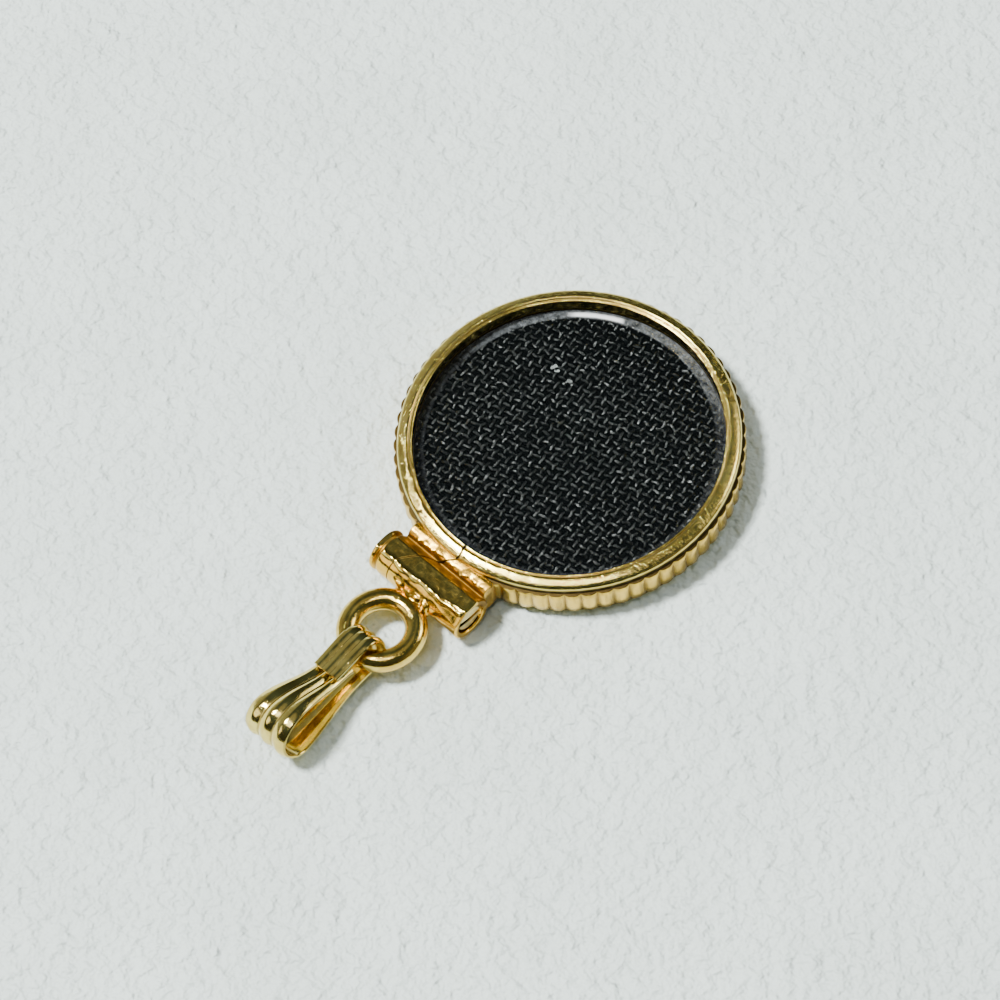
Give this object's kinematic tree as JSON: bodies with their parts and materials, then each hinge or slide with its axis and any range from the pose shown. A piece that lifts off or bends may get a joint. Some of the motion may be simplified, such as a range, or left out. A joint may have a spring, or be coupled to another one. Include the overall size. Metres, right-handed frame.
{
  "type": "round glazed pendant with bail",
  "caption": "Round gold pendant with a reeded bezel, two crystals over woven cloth, a screwed barrel, a jump ring and a folded ribbed bail that swings.",
  "frame": {"origin": "middle of the back rim, on the plane that the pendant rests on", "axes": "+Z out of the front crystal; +X along the barrel towards the screw head; the bail lies towards -Y"},
  "size_m": [0.02, 0.0345, 0.0036],
  "materials": {
    "bezel_gold": "worn polished gold",
    "screw_gold": "polished gold",
    "bail_gold": "polished gold",
    "crystal": "clear polished",
    "cloth": "coarse black weave"
  },
  "bodies": {
    "pendant": {"bezel_frame": "bezel_gold", "clamp_screw": "screw_gold", "front_crystal": "crystal", "fabric_disc": "cloth", "back_crystal": "crystal"},
    "bail": {"bail": "bail_gold"}
  },
  "joints": [
    {"name": "bail_swing", "type": "hinge", "parent": "pendant", "child": "bail", "pos_m": [0.0001, -0.01706, 0.0015], "axis": [-0.9903, 0, -0.1392], "range_deg": [-130, 130]}
  ]
}
